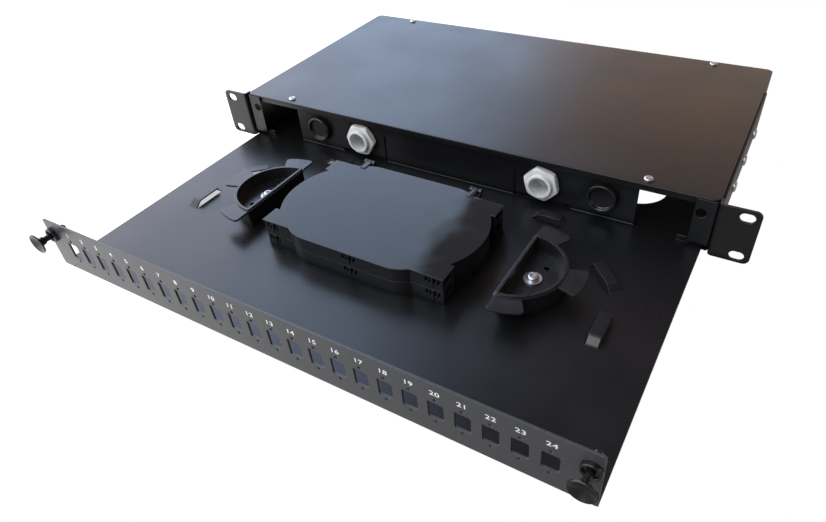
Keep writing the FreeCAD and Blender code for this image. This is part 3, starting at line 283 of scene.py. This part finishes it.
MATERIALS = {
    # The sheet-metal coat carries painted shade in its corners; the panel coat has none.
    "powder_coat": powder_coat("powder_coat_black", rgb(0.0036, 0.0036, 0.0039), 0.31, 0.08),
    "panel_coat": powder_coat("panel_coat_black", rgb(0.038, 0.038, 0.039), 0.34, OPEN_SHEEN),
    "zinc_screw": zinc("zinc_plate"),
    "black_abs": moulded("abs_black", rgb(0.0075, 0.0075, 0.008), 0.27),
    "lid_abs": moulded("abs_black_gloss", rgb(0.015, 0.015, 0.0155), 0.07, 0.0006, 0.10, 1.37),
    "black_nylon": moulded("nylon_black", rgb(0.006, 0.006, 0.006), 0.17),
    "white_nylon": white_plastic("nylon_white"),
    "seal_rubber": rubber("rubber_light", rgb(0.40, 0.40, 0.39)),
    "comb_rubber": rubber("rubber_grey", rgb(0.22, 0.23, 0.25)),
}


SLOTS = {part["node"]: part["material_slot"] for part in frame["record"]["subparts"]}


def dress_cad_nodes():
    """Gives every CAD node the procedural material of its slot in the record."""
    for name, node in nodes.items():
        for material_slot in node.material_slots:
            material_slot.material = MATERIALS[SLOTS[name]]


# --- Softened edges --------------------------------------------------------------------


def tidy_group():
    """A modifier tree that welds split corners and shades every face smooth."""
    tree = bpy.data.node_groups.new("weld_and_smooth", "GeometryNodeTree")
    tree.interface.new_socket("Geometry", in_out="INPUT", socket_type="NodeSocketGeometry")
    tree.interface.new_socket("Geometry", in_out="OUTPUT", socket_type="NodeSocketGeometry")
    start = tree.nodes.new("NodeGroupInput")
    weld = tree.nodes.new("GeometryNodeMergeByDistance")
    weld.inputs["Distance"].default_value = 1e-6
    normals = tree.nodes.new("GeometryNodeRemoveAttribute")
    normals.inputs["Name"].default_value = "custom_normal"
    smooth = tree.nodes.new("GeometryNodeSetShadeSmooth")
    end = tree.nodes.new("NodeGroupOutput")
    tree.links.new(start.outputs[0], weld.inputs["Geometry"])
    tree.links.new(weld.outputs[0], normals.inputs["Geometry"])
    tree.links.new(normals.outputs[0], smooth.inputs["Geometry"])
    tree.links.new(smooth.outputs[0], end.inputs[0])
    return tree


TIDY = tidy_group()


EDGE_SEGMENTS = 2
EDGE_ANGLE = math.radians(32)


def soften(node, width):
    """Rounds a node's sharp edges a little, as a coat or a mould would."""
    tidy = node.modifiers.new("tidy", "NODES")
    tidy.node_group = TIDY
    bevel = node.modifiers.new("edges", "BEVEL")
    bevel.width = width
    bevel.segments = EDGE_SEGMENTS
    bevel.limit_method = "ANGLE"
    bevel.angle_limit = EDGE_ANGLE
    bevel.use_clamp_overlap = False
    bevel.loop_slide = False
    shading = node.modifiers.new("shading", "WEIGHTED_NORMAL")
    shading.keep_sharp = True
    shading.weight = 50


EDGE_WIDTH = {
    "powder_coat": 0.32 * MM,
    "panel_coat": 0.15 * MM,
    "black_abs": 0.15 * MM,
    "lid_abs": 0.30 * MM,
    "black_nylon": 0.12 * MM,
    "white_nylon": 0.20 * MM,
    "zinc_screw": 0.06 * MM,
    "seal_rubber": 0.12 * MM,
    "comb_rubber": 0.08 * MM,
}


def soften_cad_nodes():
    """Softened edges on the sheet metal and the mouldings."""
    for name, node in nodes.items():
        soften(node, EDGE_WIDTH[SLOTS[name]])


# --- Port numbers ----------------------------------------------------------------------

DIGIT_HEIGHT = 3.3 * MM
CAPITAL_RATIO = 0.7
DIGIT_STRETCH = 1.28
DIGIT_SPACING = 1.08
INK_SPREAD = 0.06 * MM
INK_THICK = 0.03 * MM
NUMBER_RISE = 14.4 * MM


def port_numbers():
    """The printed number above each adapter port."""
    ink = print_ink("ink_white")
    ports = [m for m in frame["record"]["mounts"] if m["name"].startswith("adapter_port_")]
    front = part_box("front_panel")[0].y
    for index, port in enumerate(sorted(ports, key=lambda m: m["pos_m"][0])):
        text = bpy.data.curves.new("number", "FONT")
        text.body = str(index + 1)
        text.align_x = "CENTER"
        text.align_y = "CENTER"
        text.size = DIGIT_HEIGHT / CAPITAL_RATIO
        text.space_character = DIGIT_SPACING
        text.offset = INK_SPREAD
        text.extrude = INK_THICK
        text.materials.append(ink)
        number = bpy.data.objects.new("port_number_%02d" % (index + 1), text)
        number.rotation_euler = (math.radians(90), 0, 0)
        number.scale = (DIGIT_STRETCH, 1, 1)
        number.location = (port["pos_m"][0], front, port["pos_m"][2] + NUMBER_RISE)
        bpy.context.scene.collection.objects.link(number)
        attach(number, "drawer")


# --- Stage and light -------------------------------------------------------------------

PLAIN_WHITE = rgb(1.0, 1.0, 1.0)

# The floor glows, which is painted light: places along X in metres, and the light it gives at the two
# ends of each. The pool is a painted pool of light, brighter to the left, that reflections see; the
# shade is painted shade under the tray, darker towards +X.
FLOOR_HALF = 6.0
FLOOR_DROP = 0.5 * MM
PAINTED_POOL_SPAN = (-0.35, 0.25)
PAINTED_POOL_LIGHT = (1.60, 0.28)
PAINTED_SHADE_SPAN = (-0.18, -0.07)
PAINTED_SHADE_LIGHT = (0.62, 0.01)

# The room: spans of height run from 0 at the horizon to 1 overhead, and the others run
# along the axis named with them.
HORIZON_SPAN = (0.12, 0.26)
OVERHEAD_SPAN = (0.90, 0.97)
WINDOW_AXIS = (-0.896, -0.214, -0.384)
WINDOW_EDGE = (-0.030, -0.008)
WINDOW_JOG = 0.022
WINDOW_JOG_UPPER = (0.66, 0.70)
WINDOW_JOG_LOWER = (0.59, 0.615)
WINDOW_TURN = (0.58, 0.78)
WINDOW_BLUE = rgb(1.9, 2.4, 3.3)
WINDOW_WHITE = rgb(2.8, 2.85, 3.3)
ROOM_COLOUR = rgb(0.12, 0.095, 0.105)
GLOW_COLOUR = rgb(2.05, 1.26, 0.78)
GLOW_AXIS = (-0.45, 0.89, 0.0)
GLOW_TURN = (0.0, 0.35)
GLOW_START = (0.29, 0.37)
GLOW_END = (0.28, 0.60)
SOFT_COLOUR = rgb(0.75, 0.75, 0.78)
REFLECTOR_AXIS = (-0.77, -0.63, 0.05)
REFLECTOR_EDGE = (0.70, 0.92)
REFLECTOR_COLOUR = rgb(2.6, 2.5, 2.4)


def make_floor():
    """A pale glowing floor just under the housing: white to the camera, a painted pool of light seen
    in reflections, painted shade under the tray, clear from below.
    """
    level = cad_box[0].z - FLOOR_DROP
    mesh = bpy.data.meshes.new("floor")
    corners = [(-1, -1), (1, -1), (1, 1), (-1, 1)]
    mesh.from_pydata([(x * FLOOR_HALF, y * FLOOR_HALF, level) for x, y in corners], [], [(0, 1, 2, 3)])
    floor = bpy.data.objects.new("floor", mesh)
    bpy.context.scene.collection.objects.link(floor)
    material = bpy.data.materials.new("floor_white_and_painted_light")
    material.use_nodes = True
    tree = Nodes(material.node_tree)
    seen = tree.add("ShaderNodeLightPath").outputs["Is Camera Ray"]
    place = tree.add("ShaderNodeSeparateXYZ", Vector=tree.add("ShaderNodeTexCoord").outputs["Object"])
    # Painted pool of light: the floor glows brighter to the left, and reflections see this.
    painted_pool = tree.ramp(place.outputs["X"], *PAINTED_POOL_SPAN, *PAINTED_POOL_LIGHT)
    from_tray = tree.add("ShaderNodeTexCoord", object=nodes["tray"]).outputs["Object"]
    spot = tree.add("ShaderNodeSeparateXYZ", Vector=from_tray)
    front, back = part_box("tray")
    across = tree.math("ABSOLUTE", spot.outputs["X"])
    along_tray = tree.math("SUBTRACT", spot.outputs["Y"], (front.y + back.y) / 2)
    along_tray = tree.math("ABSOLUTE", along_tray)
    inside_width = tree.math("LESS_THAN", across, back.x)
    inside_length = tree.math("LESS_THAN", along_tray, (back.y - front.y) / 2)
    covered = tree.math("MULTIPLY", inside_width, inside_length)
    # Painted shade under the tray: where the tray covers the floor, the floor's glow drops towards +X.
    painted_shade_under_tray = tree.ramp(spot.outputs["X"], *PAINTED_SHADE_SPAN, *PAINTED_SHADE_LIGHT)
    open_floor = tree.math("MAXIMUM", painted_pool, seen)
    strength = tree.mix(covered, open_floor, painted_shade_under_tray)
    bright = tree.add("ShaderNodeEmission", Color=PLAIN_WHITE, Strength=strength)
    clear = tree.add("ShaderNodeBsdfTransparent")
    from_below = tree.add("ShaderNodeNewGeometry").outputs["Backfacing"]
    one_sided = tree.tree.nodes.new("ShaderNodeMixShader")
    for socket, value in zip(one_sided.inputs, (from_below, bright.outputs[0], clear.outputs[0])):
        tree.tree.links.new(value, socket)
    tree.add("ShaderNodeOutputMaterial", Surface=one_sided.outputs[0])
    mesh.materials.append(material)


def along(tree, direction, axis):
    """How far a direction points along an axis, from -1 to 1."""
    node = tree.add("ShaderNodeVectorMath", operation="DOT_PRODUCT")
    tree.tree.links.new(direction, node.inputs[0])
    node.inputs[1].default_value = axis
    return node.outputs["Value"]


def make_world():
    """Soft window light from the left, a dim room with a warm glow behind, white to the camera."""
    world = bpy.data.worlds.new("studio")
    bpy.context.scene.world = world
    world.use_nodes = True
    tree = Nodes(world.node_tree)
    direction = tree.add("ShaderNodeTexCoord").outputs["Generated"]
    up = tree.add("ShaderNodeSeparateXYZ", Vector=direction).outputs["Z"]
    upper_step = tree.ramp(up, *WINDOW_JOG_UPPER, 0.0, WINDOW_JOG)
    lower_step = tree.ramp(up, *WINDOW_JOG_LOWER, 0.0, WINDOW_JOG)
    jog = tree.math("SUBTRACT", upper_step, lower_step)
    edge = tree.math("ADD", along(tree, direction, WINDOW_AXIS), jog)
    window = tree.ramp(edge, *WINDOW_EDGE)
    left = tree.ramp(along(tree, direction, (-1, 0, 0)), *WINDOW_TURN)
    window_colour = tree.mix(left, WINDOW_BLUE, WINDOW_WHITE)
    window_colour = tree.mix(tree.ramp(up, *HORIZON_SPAN), SOFT_COLOUR, window_colour)
    facing = tree.ramp(along(tree, direction, GLOW_AXIS), *GLOW_TURN)
    warm = tree.math("MULTIPLY", facing, tree.ramp(up, *GLOW_START))
    glow = tree.mix(warm, SOFT_COLOUR, GLOW_COLOUR)
    room = tree.mix(tree.ramp(up, *GLOW_END, 1.0, 0.0), ROOM_COLOUR, glow)
    room = tree.mix(tree.ramp(up, *OVERHEAD_SPAN), room, SOFT_COLOUR)
    light = tree.mix(window, room, window_colour)
    reflector = tree.ramp(along(tree, direction, REFLECTOR_AXIS), *REFLECTOR_EDGE)
    light = tree.mix(reflector, light, REFLECTOR_COLOUR)
    seen = tree.add("ShaderNodeLightPath").outputs["Is Camera Ray"]
    colour = tree.mix(seen, light, PLAIN_WHITE)
    background = tree.add("ShaderNodeBackground", Color=colour)
    tree.add("ShaderNodeOutputWorld", Surface=background.outputs[0])


def area_light(name, place, aim, size, power, colour):
    """A soft rectangular light."""
    data = bpy.data.lights.new(name, "AREA")
    data.shape = "RECTANGLE"
    data.size, data.size_y = size
    data.energy = power
    data.color = colour
    lamp = bpy.data.objects.new(name, data)
    lamp.location = place
    lamp.rotation_euler = (Vector(aim) - Vector(place)).to_track_quat("-Z", "Y").to_euler()
    bpy.context.scene.collection.objects.link(lamp)


# --- Build -----------------------------------------------------------------------------

make_camera()
make_world()
make_floor()
dress_cad_nodes()
soften_cad_nodes()
port_numbers()
area_light("front_fill", (-0.2, -1.6, 2.2), (0, -0.05, 0), (1.6, 1.2), 26, (1, 0.94, 0.86))

bpy.context.scene.view_settings.view_transform = "Standard"
